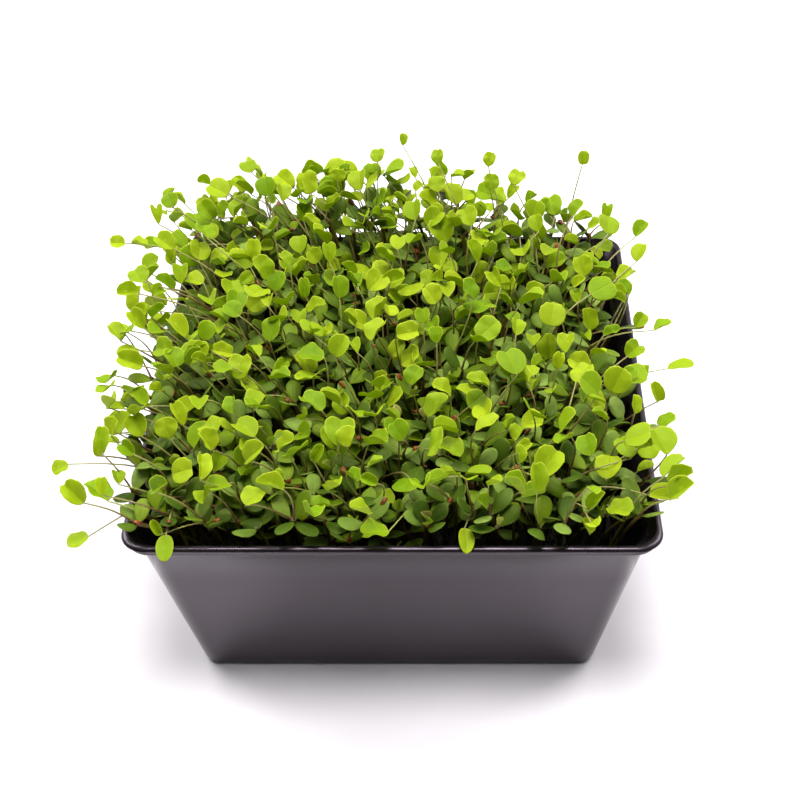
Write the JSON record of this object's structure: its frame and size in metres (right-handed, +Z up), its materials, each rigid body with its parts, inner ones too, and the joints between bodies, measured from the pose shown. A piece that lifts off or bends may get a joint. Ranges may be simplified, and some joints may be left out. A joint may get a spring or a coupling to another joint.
{
  "type": "microgreens tray",
  "caption": "Square black plastic grow tray with a lipped rim, filled with growing medium and a dense stand of clover-like microgreen seedlings.",
  "frame": {"origin": "middle of the tray's flat floor, on the surface that it stands on", "axes": "+Z up, +X to the right and +Y to the back as the picture shows the tray; the tray's walls lie along X and Y"},
  "size_m": [0.1634, 0.1382, 0.0948],
  "materials": {
    "tray": "satin black moulded plastic",
    "growing_medium": "damp dark peat and fine fibre",
    "first_leaves": "thin lime-green leaf, finely veined",
    "seed_leaves": "smooth blue-green seed leaf",
    "stems": "pale green stem, reddish towards its foot",
    "seed_husks": "dry reddish-brown seed husk"
  },
  "bodies": {
    "root": {"tray": "tray", "growing_medium": "growing_medium", "seedlings_row1_1": "first_leaves", "seedlings_row1_2": "first_leaves", "seedlings_row1_3": "first_leaves", "seedlings_row1_4": "first_leaves", "seedlings_row1_5": "first_leaves", "seedlings_row2_1": "first_leaves", "seedlings_row2_2": "first_leaves", "seedlings_row2_3": "first_leaves", "seedlings_row2_4": "first_leaves", "seedlings_row2_5": "first_leaves", "seedlings_row3_1": "first_leaves", "seedlings_row3_2": "first_leaves", "seedlings_row3_3": "first_leaves", "seedlings_row3_4": "first_leaves", "seedlings_row3_5": "first_leaves", "seedlings_row4_1": "first_leaves", "seedlings_row4_2": "first_leaves", "seedlings_row4_3": "first_leaves", "seedlings_row4_4": "first_leaves", "seedlings_row4_5": "first_leaves", "seedlings_row5_1": "first_leaves", "seedlings_row5_2": "first_leaves", "seedlings_row5_3": "first_leaves", "seedlings_row5_4": "first_leaves", "seedlings_row5_5": "first_leaves"}
  },
  "joints": []
}
